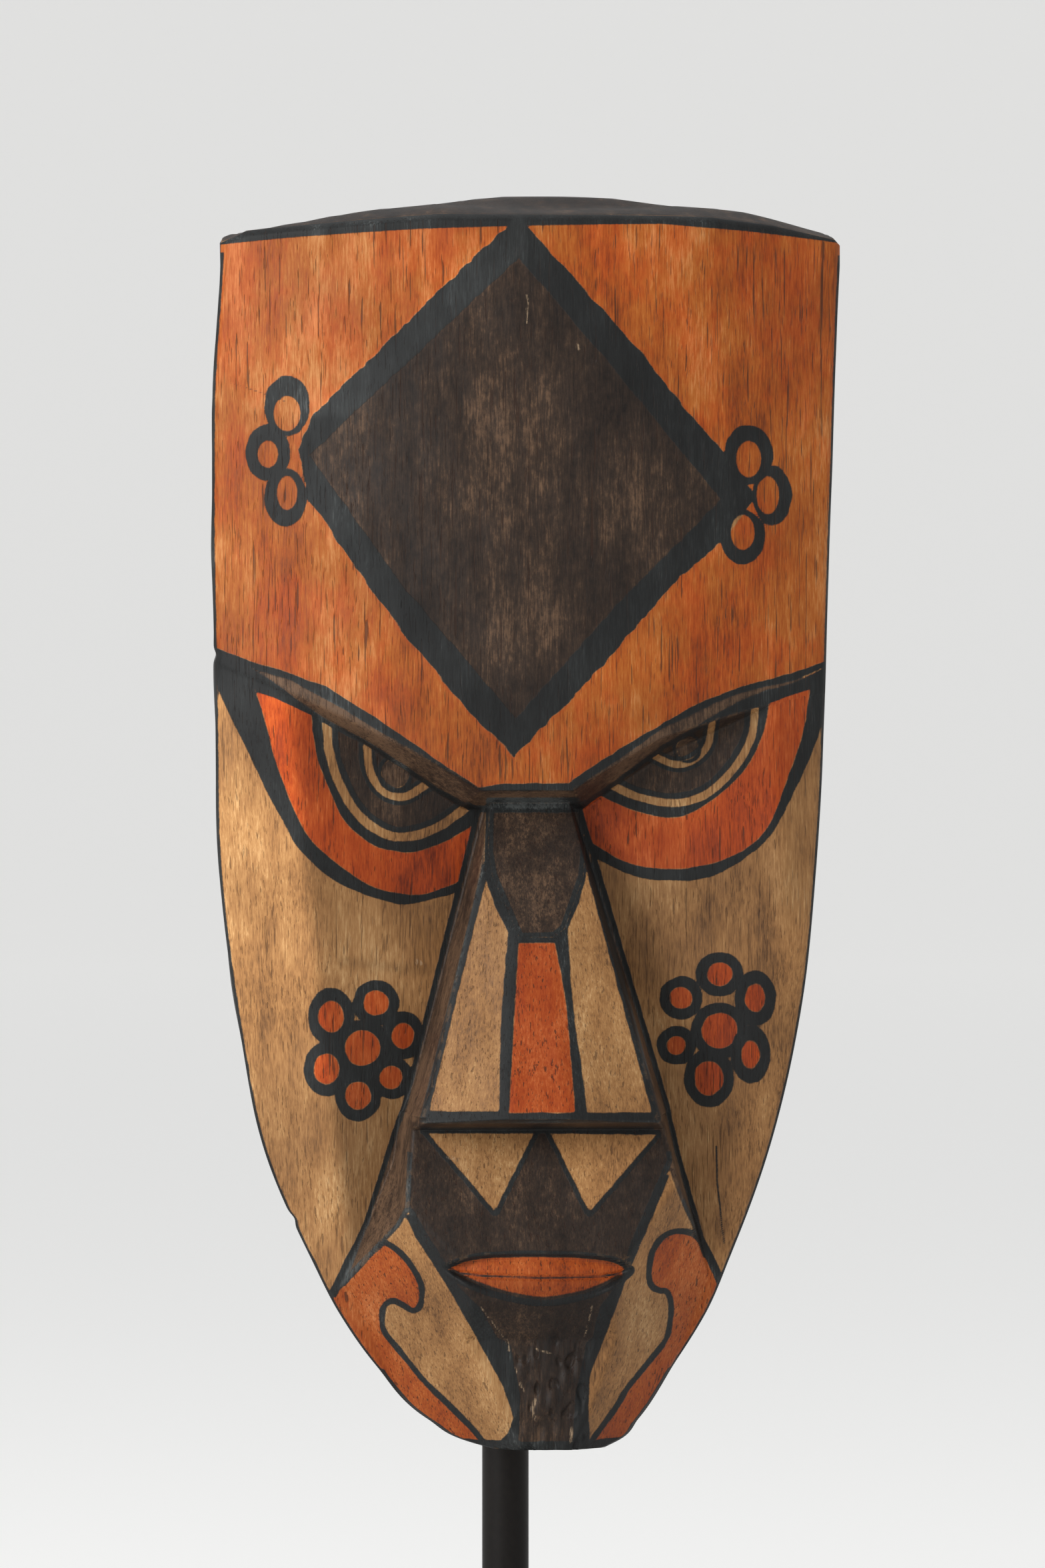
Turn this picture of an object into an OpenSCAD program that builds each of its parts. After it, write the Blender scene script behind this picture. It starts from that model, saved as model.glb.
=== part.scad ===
// Carved and painted wooden face mask on an adjustable display stand.
// Millimetres, +Z up, the mask looks along -Y.
// Origin: centre of the base, on the surface that the felt lies on.

/* [Mask] */
// Height of the mask
mask_h = 420; // [410:1:430]
// Height of the chin above the table
chin_z = 120; // [90:1:200]
// Depth of the forehead at its middle, from the back plane
brow_d = 68; // [64:1:72]
// Drop of the forehead from its middle to 105 mm aside
brow_drop = 26; // [22:1:28]
// Deepest depth of the hollow behind the face
hollow_d = 30; // [20:1:32]
// Width of the rim round the hollow
rim_w = 16; // [12:1:18]
// Sideways offset of the mask from its post
mask_x = 2.5; // [0:0.1:5]

/* [Stand] */
// Post diameter
post_d = 16; // [12:1:20]
// How far the post stands behind the centre of the base
post_y = 30; // [20:1:34]
// Length of post that stands out above the socket
post_tip = 46; // [44:1:60]
// Base diameter
base_d = 190; // [180:1:240]
// Base thickness
base_t = 12; // [10:1:20]
// Thickness of the felt under the base
felt_t = 2; // [1.5:0.5:4]
// Outer diameter of the boss round the foot of the post
boss_d = 40; // [32:1:50]
// Height of that boss
boss_h = 14; // [10:1:30]

/* [Carrier] */
// Height of the rail's middle above the chin
rail_v = 240; // [236:1:244]
// Rail height
rail_h = 36; // [30:1:40]
// Rail thickness
rail_t = 10; // [8:1:10]
// Socket block width
block_w = 48; // [44:1:52]
// Socket block height
block_h = 64; // [56:1:70]
// Stop collar outer diameter
collar_d = 30; // [26:1:34]
// Stop collar height
collar_h = 14; // [12:1:20]
// Radial clearance of everything that runs on the post
run_gap = 0.05; // [0.03:0.01:0.08]

/* [Hidden] */
$fn = 96;

big = 600;
reach = 105;
washer_t = 1.5;
post_r = post_d / 2;
block_t = post_d + 18;
// distance from the mask's back plane to the post's axis
back_gap = rail_t + block_t / 2;
mask_y = post_y - back_gap;
rail_z = chin_z + rail_v;
block_z = rail_z - block_h / 2;
collar_z = block_z - washer_t - collar_h;
plate_top = felt_t + base_t;
post_top = block_z + block_h + post_tip;
// the collar's knurled screw: shank radius, head height and radius
screw_r = 2.5;
head_h = 9;
head_r = 7;
// the bolt that holds the post on the base, and the four through the rail
bolt_r = 4;
rail_bolt_r = 2.5;
bolt_hole_r = rail_bolt_r + 0.1;

// Outline of the face: height above the chin, left edge, right edge
OUTLINE = [[0, -12, 26], [2, -20, 31], [9, -33, 38], [27, -50.5, 50.5],
    [45, -63, 61.5], [63, -72, 69], [98, -87, 81.5], [143, -96.5, 92],
    [197, -103, 97.5], [250, -104.6, 100.6], [313, -105.5, 102.4],
    [366, -105.2, 104.4], [404, -102.8, 106]];
// Crest of the hewn top, from the left corner to the right one
CREST = [[-98, 407], [-57, 413.5], [-17, 419.5], [-7, mask_h], [30, 419],
    [64, 415.5], [100, 408.5]];

// Depth profile of the middle of the face as [depth, height]:
// chin, recess under the mouth, lips, and the muzzle up to the nose
MUZZLE = [[0, 0], [57, 0], [60, 37], [68, 50.5], [72, 58.5], [72, 65.5],
    [70, 66.5], [60, 107], [60, 130], [0, 130]];
// Depth profile of the nose: underside, ridge, root below the brow
NOSE = [[0, 108], [58, 107], [84.5, 111.8], [70.2, 171], [51, 214], [0, 214]];

// The solid behind the sloping face that has depth d0 at (x0, v0) and gains
// b per mm across and c per mm up
module behind(x0, v0, d0, b, c)
    translate([x0, -d0, v0])
        rotate([asin(c / norm([b, 1, c])), 0, atan(-b)])
            translate([-big / 2, 0, -big / 2])
                cube(big);

// The solid above the sloping face that has height v0 at (x0, d0) and gains
// m per mm across and t per mm of depth
module above(x0, v0, d0, m, t)
    translate([x0, -d0, v0])
        rotate([atan(-t), -atan(m * cos(atan(t))), 0])
            translate([-big / 2, -big / 2, 0])
                cube(big);

// A plate of the given outline, from the back plane out to depth d
module slab(points, d)
    rotate([90, 0, 0])
        linear_extrude(d)
            polygon(points);

// A depth profile drawn out across the face between two sides
module profile(points, x_low, x_high)
    translate([x_low, 0, 0])
        rotate([90, 0, 90])
            linear_extrude(x_high - x_low)
                polygon([for (p = points) [-p[0], p[1]]]);

function left_side(inset) = [for (p = OUTLINE) [p[1] + inset, p[0]]];
function right_side(inset) = [for (i = [len(OUTLINE) - 1:-1:0])
    [OUTLINE[i][2] - inset, OUTLINE[i][0]]];
face_outline = concat(left_side(0), CREST, right_side(0));

// A round face of radius r about a vertical axis, with depth d at the middle
module barrel(d, r, low, high)
    translate([0, r - d, low])
        cylinder(r = r, h = high - low, $fn = 360);

module stock()
    intersection() {
        slab(face_outline, 100);
        barrel(brow_d, reach * reach / 2 / brow_drop, -5, mask_h + 5);
    }

// The top rises from its front edge towards the back
module hewn_top()
    mirror([0, 0, 1])
        above(0, -411, 66, 0, 0.22);

module forehead()
    intersection() {
        stock();
        above(-16, 220.2, 66.5, -0.597, 0.4);
        // the right brow bends part of the way out
        union() {
            above(14, 220.4, 66.5, 0.64, 0.4);
            above(40.5, 237.4, 65, 0.41, 0.4);
        }
        above(0, 220.3, 67, 0, 0.245);
        hewn_top();
    }

module cheeks()
    intersection() {
        stock();
        union() {
            behind(0, 0, 28.5, -0.129, 0.05);
            behind(0, 0, 28.5, 0.129, 0.05);
        }
        behind(-74, 197, 47.9, 0.33, 0.1);
        behind(88, 174, 48.7, -0.33, 0.155);
        slab([[-big, -5], [big, -5], [big, 290], [-big, 290]], 100);
    }

module jaw()
    intersection() {
        slab(face_outline, 100);
        slab([[-37, 130], [-39.5, 118], [-67, 47], [-67, -5], [68, -5], [68, 53],
            [46.5, 114], [43, 130]], 100);
        profile(MUZZLE, -80, 80);
        behind(-39.4, 82, 68, 0.776, 0.482);
        behind(46, 88, 66, -0.895, 0.421);
    }

module nose()
    intersection() {
        profile(NOSE, -60, 60);
        behind(-3.5, 171, 70.2, 0.313, -0.26);
        behind(6, 171, 70.2, -0.313, -0.26);
        slab([[-13, 214], [-38.5, 107], [43.5, 107], [15, 214]], 100);
    }

module hollow()
    intersection() {
        translate([0, 1, 0])
            slab([[-12, 26], [-40, 40], [-56, 62], [-87 + rim_w, 98],
                [-96.5 + rim_w, 143], [-103 + rim_w, 197], [-105 + rim_w, 260],
                [-105 + rim_w, 372], [-70, 388], [70, 388], [102 - rim_w, 372],
                [101 - rim_w, 260], [97.5 - rim_w, 197], [92 - rim_w, 143],
                [81.5 - rim_w, 98], [56, 62], [44, 40], [24, 26]], 60);
        barrel(hollow_d, 405, 0, mask_h);
    }

// Places what belongs to the mask: its back plane and chin
module on_mask()
    translate([mask_x, mask_y, chin_z])
        children();

module mask()
    color([0.66, 0.38, 0.2])
        on_mask()
            difference() {
                union() {
                    forehead();
                    cheeks();
                    jaw();
                    nose();
                }
                hollow();
                rail_spots()
                    rotate([90, 0, 0])
                        translate([0, 0, -1])
                            cylinder(r = 1.8, h = 19);
            }

// The four places where the rail is screwed to the rim, in the mask's frame
module rail_spots()
    for (x = [-96.5, 92.5], v = [-10, 10])
        translate([x, 0, rail_v + v])
            children();

module cross_rail()
    color([0.72, 0.55, 0.36])
        difference() {
            on_mask()
                translate([-101.5, 0, rail_v - rail_h / 2])
                    cube([199, rail_t, rail_h]);
            on_mask()
                rail_spots()
                    rotate([-90, 0, 0]) {
                        translate([0, 0, -1])
                            cylinder(r = 2.4, h = rail_t + 2);
                        translate([0, 0, rail_t - 2.6])
                            cylinder(r1 = 2.4, r2 = 5.2, h = 2.8);
                    }
            bolt_spots()
                rotate([-90, 0, 0])
                    translate([0, 0, -1])
                        cylinder(r = bolt_hole_r, h = rail_t + 2);
        }

module rail_screws()
    color([0.7, 0.66, 0.5])
        on_mask()
            rail_spots()
                rotate([90, 0, 0])
                    difference() {
                        union() {
                            translate([0, 0, -rail_t])
                                cylinder(r = 1.8, h = rail_t + 16);
                            translate([0, 0, -rail_t + 0.2])
                                cylinder(r1 = 4.6, r2 = 2.0, h = 2.4);
                        }
                        translate([0, 0, -rail_t + 0.2])
                            for (a = [0, 90])
                                rotate(a)
                                    translate([-2.6, -0.5, -1])
                                        cube([5.2, 1, 2]);
                    }

// The four bolts round the socket, on the rail's front face
module bolt_spots()
    for (x = [-17, 17], v = [-12, 12])
        translate([x, mask_y, rail_z + v])
            children();

module socket_block()
    color([0.55, 0.4, 0.26])
        difference() {
            translate([0, post_y, block_z])
                linear_extrude(block_h)
                    polygon([[-block_w / 2, -block_t / 2], [block_w / 2, -block_t / 2],
                        [block_w / 2, 0], [block_w / 2 - 9, block_t / 2],
                        [9 - block_w / 2, block_t / 2], [-block_w / 2, 0]]);
            translate([0, post_y, block_z - 1])
                cylinder(r = post_r + run_gap, h = block_h + 2);
            bolt_spots()
                rotate([-90, 0, 0]) {
                    cylinder(r = bolt_hole_r, h = 60);
                    translate([0, 0, rail_t + 16])
                        cylinder(r = 6, h = 40);
                }
        }

module socket_bolts()
    color([0.35, 0.35, 0.36])
        bolt_spots()
            rotate([-90, 0, 0]) {
                translate([0, 0, -7])
                    cylinder(r = rail_bolt_r, h = rail_t + 23);
                translate([0, 0, rail_t + 16])
                    cylinder(r = 4.6, h = 4, $fn = 6);
            }

module socket_nuts()
    color([0.6, 0.6, 0.62])
        bolt_spots()
            rotate([90, 0, 0])
                difference() {
                    union() {
                        cylinder(r = 5, h = 1);
                        cylinder(r = 4.5, h = 5, $fn = 6);
                    }
                    translate([0, 0, -1])
                        cylinder(r = rail_bolt_r, h = 7);
                }

module ring(r_in, r_out, h)
    difference() {
        cylinder(r = r_out, h = h);
        translate([0, 0, -1])
            cylinder(r = r_in, h = h + 2);
    }

module thrust_washer()
    color([0.78, 0.62, 0.32])
        translate([0, post_y, collar_z + collar_h])
            ring(post_r + run_gap, collar_d / 2 - 1, washer_t);

module stop_collar()
    color([0.16, 0.15, 0.14])
        translate([0, post_y, collar_z])
            difference() {
                ring(post_r + run_gap, collar_d / 2, collar_h);
                translate([0, 0, collar_h / 2])
                    rotate([-90, 0, 0])
                        cylinder(r = screw_r + run_gap, h = collar_d);
            }

module collar_screw()
    color([0.72, 0.58, 0.3])
        translate([0, post_y, collar_z + collar_h / 2])
            rotate([-90, 0, 0]) {
                translate([0, 0, post_r + 0.3])
                    cylinder(r = screw_r, h = collar_d / 2 - post_r + 4);
                translate([0, 0, collar_d / 2 + 1.5])
                    cylinder(r = 4, h = 3);
                translate([0, 0, collar_d / 2 + 4])
                    difference() {
                        cylinder(r = head_r, h = head_h);
                        for (i = [0:23])
                            rotate(i * 15)
                                translate([head_r, 0, 1])
                                    rotate(45)
                                        translate([-0.4, -0.4, 0])
                                            cube([0.8, 0.8, head_h]);
                    }
            }

module post()
    color([0.13, 0.12, 0.11])
        translate([0, post_y, plate_top])
            difference() {
                union() {
                    cylinder(r = post_r, h = post_top - plate_top - 1.5);
                    translate([0, 0, post_top - plate_top - 1.5])
                        cylinder(r1 = post_r, r2 = post_r - 1.5, h = 1.5);
                }
                translate([0, 0, -1])
                    cylinder(r = bolt_r, h = 26);
            }

module post_boss()
    color([0.13, 0.12, 0.11])
        translate([0, post_y, plate_top])
            rotate_extrude()
                polygon([[post_r, 0], [boss_d / 2, 0], [boss_d / 2, boss_h - 5],
                    [boss_d / 2 - 2, boss_h - 2], [boss_d / 2 - 6, boss_h],
                    [post_r, boss_h]]);

module base_plate()
    color([0.13, 0.12, 0.11])
        difference() {
            translate([0, 0, felt_t])
                rotate_extrude($fn = 180)
                    polygon([[0, 0], [base_d / 2 - 1, 0], [base_d / 2, 1],
                        [base_d / 2, base_t - 3], [base_d / 2 - 3, base_t], [0, base_t]]);
            translate([0, post_y, 0]) {
                cylinder(r = bolt_r + 0.4, h = 40);
                cylinder(r = 10, h = felt_t + 6.5);
            }
        }

module post_bolt()
    color([0.5, 0.5, 0.52])
        translate([0, post_y, felt_t])
            difference() {
                union() {
                    translate([0, 0, 5.2])
                        cylinder(r = bolt_r, h = 26);
                    translate([0, 0, 0.2])
                        cylinder(r = 6.5, h = 5);
                }
                translate([0, 0, -1])
                    cylinder(r = 3.4, h = 4, $fn = 6);
            }

module bolt_washer()
    color([0.6, 0.6, 0.62])
        translate([0, post_y, felt_t + 5.2])
            ring(bolt_r, 8, 1.3);

module base_felt()
    color([0.1, 0.11, 0.1])
        cylinder(r = base_d / 2 - 4, h = felt_t, $fn = 180);

mask();
cross_rail();
rail_screws();
socket_block();
socket_bolts();
socket_nuts();
thrust_washer();
stop_collar();
collar_screw();
post();
post_boss();
base_plate();
post_bolt();
bolt_washer();
base_felt();
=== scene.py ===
"""The carved and painted wooden mask on its display stand: looks, light and camera.

Lengths in the carving and painting sections are millimetres in the mask's own frame: x to the
viewer's right, v up from the chin, and depth d forward from the flat back."""
import math

import bpy
import numpy as np
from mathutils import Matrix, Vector

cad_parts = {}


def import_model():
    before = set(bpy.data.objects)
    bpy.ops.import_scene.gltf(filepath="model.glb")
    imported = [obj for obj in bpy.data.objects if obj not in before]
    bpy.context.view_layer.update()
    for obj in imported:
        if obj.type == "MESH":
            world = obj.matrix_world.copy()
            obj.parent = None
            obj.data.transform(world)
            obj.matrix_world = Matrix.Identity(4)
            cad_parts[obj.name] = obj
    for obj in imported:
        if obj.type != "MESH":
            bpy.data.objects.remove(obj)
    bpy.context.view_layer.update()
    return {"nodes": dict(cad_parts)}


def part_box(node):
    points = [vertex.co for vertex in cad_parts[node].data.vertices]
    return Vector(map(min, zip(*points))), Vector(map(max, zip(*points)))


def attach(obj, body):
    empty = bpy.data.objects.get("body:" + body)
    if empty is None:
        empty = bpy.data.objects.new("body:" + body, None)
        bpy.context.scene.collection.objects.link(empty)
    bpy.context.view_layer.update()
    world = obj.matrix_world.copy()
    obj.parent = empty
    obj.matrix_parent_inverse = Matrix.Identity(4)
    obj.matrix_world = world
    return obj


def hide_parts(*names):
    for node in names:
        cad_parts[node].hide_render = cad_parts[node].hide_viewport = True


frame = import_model()
MM = 0.001
rng = np.random.default_rng(7)

# ---------------------------------------------------------------- places from the frame
mask_low, mask_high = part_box("mask")
LEFT_REACH = 105.5  # from the mask's own x = 0 to its left-most point
ORIGIN = np.array([mask_low[0] + LEFT_REACH * MM, mask_high[1], mask_low[2]])
MASK_H = (mask_high[2] - mask_low[2]) / MM


def world(x, v, d):
    """Points in metres in the row frame from the mask's own millimetres."""
    return np.stack([ORIGIN[0] + x * MM, ORIGIN[1] - d * MM, ORIGIN[2] + v * MM], axis=-1)


# ---------------------------------------------------------------- plane geometry helpers
def smooth_step(low, high, value):
    t = np.clip((value - low) / (high - low), 0, 1)
    return t * t * (3 - 2 * t)


def soft_min(a, b, k=1.2):
    h = np.clip(0.5 + 0.5 * (b - a) / k, 0, 1)
    return b + (a - b) * h - k * h * (1 - h)


def soft_max(a, b, k=1.2):
    return -soft_min(-a, -b, k)


def through(keys, values, at):
    """A smooth curve through the values at the keys."""
    keys, values = np.asarray(keys, float), np.asarray(values, float)
    slope = np.gradient(values, keys)
    i = np.clip(np.searchsorted(keys, at) - 1, 0, len(keys) - 2)
    step = keys[i + 1] - keys[i]
    t = np.clip((at - keys[i]) / step, 0, 1)
    h00, h10 = 2 * t**3 - 3 * t**2 + 1, t**3 - 2 * t**2 + t
    h01, h11 = -2 * t**3 + 3 * t**2, t**3 - t**2
    return h00 * values[i] + h10 * step * slope[i] + h01 * values[i + 1] + h11 * step * slope[i + 1]


def curve(points, closed=False, steps=6):
    """Points on a round curve that passes through the given ones."""
    p = np.asarray(points, float)
    n = len(p)
    if closed:
        before, after = p[(np.arange(n) - 1) % n], p[(np.arange(n) + 1) % n]
        after2 = p[(np.arange(n) + 2) % n]
        start, spans = p, n
    else:
        ext = np.vstack([2 * p[0] - p[1], p, 2 * p[-1] - p[-2]])
        before, start, after, after2, spans = ext[:-3], ext[1:-2], ext[2:-1], ext[3:], n - 1
    t = (np.arange(steps) / steps)[None, :, None]
    a, b, c, e = before[:spans, None], start[:spans, None], after[:spans, None], after2[:spans, None]
    out = 0.5 * (2 * b + (c - a) * t + (2 * a - 5 * b + 4 * c - e) * t**2 + (3 * b - a - 3 * c + e) * t**3)
    out = out.reshape(-1, 2)
    return out if closed else np.vstack([out, p[-1]])


def line_distance(points, x, v, closed=False):
    """Distance to a chain of straight stretches."""
    p = np.asarray(points, float)
    q = np.vstack([p, p[:1]]) if closed else p
    best = np.full(x.shape, 1e9)
    for (ax, av), (bx, bv) in zip(q[:-1], q[1:]):
        ex, ev = bx - ax, bv - av
        t = np.clip(((x - ax) * ex + (v - av) * ev) / max(ex * ex + ev * ev, 1e-12), 0, 1)
        best = np.minimum(best, (x - ax - t * ex) ** 2 + (v - av - t * ev) ** 2)
    return np.sqrt(best)


def field(points, x, v):
    """Signed distance to a closed outline: below 0 inside it."""
    p = np.asarray(points, float)
    inside = np.zeros(x.shape, bool)
    for (ax, av), (bx, bv) in zip(p, np.roll(p, -1, axis=0)):
        if av == bv:
            continue
        crosses = (av > v) != (bv > v)
        inside ^= crosses & (x < (bx - ax) * (v - av) / (bv - av) + ax)
    return np.where(inside, -1, 1) * line_distance(p, x, v, closed=True)


def oval(cx, cv, rx, rv, x, v):
    r = np.sqrt(((x - cx) / rx) ** 2 + ((v - cv) / rv) ** 2)
    return (r - 1) * min(rx, rv)


def both(*fields):
    return np.maximum.reduce(fields)


def either(*fields):
    return np.minimum.reduce(fields)


def ripple(x, v, size, count=7):
    """A gentle random waviness, about 1 high, of the given size across."""
    total = np.zeros(x.shape)
    for _ in range(count):
        a, b = rng.normal(0, 1, 2) * 2 * np.pi / size / 1.6
        total += np.sin(a * x + b * v + rng.uniform(0, 6.28))
    return total / math.sqrt(count / 2)


# ---------------------------------------------------------------- the carved shape
# Lips and pattern are laid out as they are seen from a little to the left: a point at depth d
# shows LEAN further to the right for each mm in front of FLAT_D.
LEAN, FLAT_D = 0.07, 40.0
# height above the chin, left edge, right edge
OUTLINE = np.array([
    (0, -12, 26), (2, -20, 31), (9, -33, 38), (27, -50.5, 50.5), (45, -63, 61.5), (63, -72, 69),
    (98, -87, 81.5), (143, -96.5, 92), (197, -103, 97.5), (250, -104.6, 100.6),
    (313, -105.5, 102.4), (366, -105.2, 104.4), (404, -102.8, 106)])
TOP_EDGE = np.array([
    (-103, 403), (-94, 407), (-61, 409.5), (-31, 411.5), (23, 411.5), (60, 411.3), (82, 409),
    (104, 405), (106, 403)])
CREST = np.array([
    (-103, 404), (-98, 407), (-57, 413.5), (-17, 419.4), (-7, 420), (30, 419), (64, 415.5),
    (100, 408.5), (106, 404)])
# profile of the middle of the lower face, from the chin up to the nose, as (height, depth)
MUZZLE = np.array([
    (-5, 56.6), (0, 57), (37, 60), (50.5, 67.5), (58.5, 70), (66.5, 70), (107, 60), (130, 60)])
BROW_D, BROW_R = 68.0, 212.0
FRONT_TOP = 411.5
LIP_TOP = [(-26.5, 61.2), (-18.5, 64.2), (-7, 65.2), (6, 65.3), (20, 64.7), (29, 63.2), (34, 60.5)]
LIP_LOW = [(34, 60.5), (29, 57), (20, 53.3), (6, 50.9), (-7, 53), (-18.5, 57), (-26.5, 61.2)]
LIP_CREASE = [(-24, 60), (-12.5, 58.9), (6, 58.4), (25, 58.6), (32, 59.6)]
LIPS = np.vstack([curve(LIP_TOP)[:-1], curve(LIP_LOW)[:-1]])


def plane(x, v, x0, v0, d0, b, c):
    return d0 + b * (x - x0) + c * (v - v0)


def barrel(x):
    return BROW_D - BROW_R + np.sqrt(BROW_R**2 - x**2)


def under_brow(x, v, x0, v0, d0, m, rise):
    """Depth of the undercut below the brow, whose edge climbs m per mm across."""
    return d0 + (v - v0 - m * (x - x0)) / rise


def cheeks(x, v):
    depth = soft_max(plane(x, v, 0, 0, 28.5, -0.129, 0.05), plane(x, v, 0, 0, 28.5, 0.129, 0.05))
    depth = soft_min(depth, plane(x, v, -74, 197, 47.9, 0.33, 0.1), 2.5)
    depth = soft_min(depth, plane(x, v, 88, 174, 48.7, -0.33, 0.155), 2.5)
    return soft_min(depth, barrel(x) - 0.2, 1.5)


def jaw_front(x, v):
    """The raised middle below the nose, before its side walls are cut."""
    depth = np.interp(v, MUZZLE[:, 0], MUZZLE[:, 1])
    depth = soft_min(depth, plane(x, v, -39.4, 82, 68, 0.776, 0.482), 1.4)
    depth = soft_min(depth, plane(x, v, 46, 88, 66, -0.895, 0.421), 1.4)
    # full lips on a gently round band, with the mouth's crease between them
    u = x + LEAN * (66 - FLAT_D)
    mouth = 69.2 - 0.0042 * (x - 2) ** 2 - 0.035 * (v - 58.5) ** 2
    mouth -= 1.1 * smooth_step(1.5, 0, line_distance(LIP_CREASE, u, v))
    return depth + (mouth - depth) * smooth_step(1.6, -0.6, field(LIPS, u, v))


def jaw_left(x, v):
    return soft_max(
        plane(x, v, -39.4, 108, 60, 6.1, -0.8), plane(x, v, -56.5, 58.5, 47, 2.57, -1.03))


def jaw_right(x, v):
    return plane(x, v, 52.7, 80.3, 56.5, -6.3, -1.71)


def nose_front(x, v):
    """Ridge, keystone and the two planes beside them."""
    depth = soft_min(plane(x, v, 0, 171, 70.2, 0, -0.442), plane(x, v, 0, 111.8, 84.4, 0, -0.241), 0.8)
    depth = soft_min(depth, plane(x, v, -5.5, 171, 70.2, 0.313, -0.26), 0.8)
    return soft_min(depth, plane(x, v, 7, 171, 70.2, -0.313, -0.26), 0.8)


def nose_left(x, v):
    return 38 + 9 * (x + 15 + 0.2564 * (211.5 - v) + 0.12 * np.clip(121.5 - v, 0, None))


def nose_right(x, v):
    return 38 + 6.3 * (17 + 0.309 * (211.5 - v) - x)


def relief(x, v):
    """Depth of the face at each point."""
    forehead = soft_min(barrel(x), under_brow(x, v, -16, 220.2, 66.5, -0.597, 0.4), 0.8)
    right = soft_max(
        under_brow(x, v, 14, 220.4, 66.5, 0.64, 0.4), under_brow(x, v, 40.5, 237.4, 65, 0.41, 0.4))
    forehead = soft_min(forehead, right, 0.8)
    forehead = soft_min(forehead, under_brow(x, v, 0, 220.3, 67, 0, 0.245), 0.8)
    jaw = soft_min(soft_min(jaw_front(x, v), jaw_left(x, v)), jaw_right(x, v))
    jaw = np.where(v < 112.4, jaw, 0)
    nose = soft_min(soft_min(nose_front(x, v), nose_left(x, v), 0.8), nose_right(x, v), 0.8)
    nose = soft_min(nose, 84.4 + 5.5 * (v - 111.8), 0.8)
    # nose and jaw share their side walls
    nose = np.where(v < 112, soft_min(soft_min(nose, jaw_left(x, v)), jaw_right(x, v)), nose)
    return soft_max(soft_max(forehead, cheeks(x, v), 0.7), soft_max(jaw, nose, 0.7), 0.7)


def root(rising, low, high, steps=28):
    """Where a rising function passes 0."""
    for _ in range(steps):
        middle = (low + high) / 2
        above = rising(middle) > 0
        low, high = np.where(above, low, middle), np.where(above, middle, high)
    return (low + high) / 2


def wall_lines(v):
    """The foot and the top edge of the left wall beside nose and jaw, then of the right one."""
    far, near = np.full(v.shape, -80.0), np.full(v.shape, 0.0)
    on_nose = smooth_step(107.4, 111.8, v)
    lines = []
    for wall_n, wall_j, side in ((nose_left, jaw_left, 1), (nose_right, jaw_right, -1)):
        for foot in (True, False):
            level_n = cheeks if foot else nose_front
            level_j = cheeks if foot else jaw_front
            nose_x = root(lambda q: wall_n(side * q, v) - level_n(side * q, v), far, near)
            jaw_x = root(lambda q: wall_j(side * q, v) - level_j(side * q, v), far, near)
            lines.append(side * (nose_x * on_nose + jaw_x * (1 - on_nose)))
    return lines


def knife_marks(x, v):
    """Shallow facets that a blade leaves, stronger on the rough chin."""
    chin = smooth_step(44, 30, v) * smooth_step(18, 8, np.abs(x - 6))
    marks = 0.2 * ripple(x, v, 30) + 0.06 * ripple(x, v * 0.4, 8)
    rough = 0.22 * ripple(x, v * 0.25, 3.6, 9) + 0.3 * ripple(x, v, 9)
    chips = -0.9 * smooth_step(1.3, 2.3, ripple(x, v * 0.4, 4.5, 9) + ripple(x, v, 9))
    return marks + chin * (rough + chips)


# the parts of the mask that a vertex can belong to
FACE, SIDE, BACK, TOP, UNDER = range(5)
# columns from the left edge to the left wall, over that wall, over the nose, and so on
COLUMN_GROUPS = [104, 14, 84, 14, 104]
ROWS, WALL_STEPS = 640, 12
COLUMNS = sum(COLUMN_GROUPS)


def outline_at(v):
    """Left and right edge at each height, with a carver's small unevenness."""
    v = np.clip(v, 0, 404)
    left = through(OUTLINE[:, 0], OUTLINE[:, 1], v)
    right = through(OUTLINE[:, 0], OUTLINE[:, 2], v)
    wave = 0.15 * (1 + np.sin(v / 19)) * smooth_step(0, 30, v)
    nick = 0.8 * np.exp(-((v - 271) / 1.8) ** 2) + 0.9 * np.exp(-((v - 77) / 2) ** 2)
    return np.maximum(left + wave + nick, 0.1 - LEFT_REACH), right - wave


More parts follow.
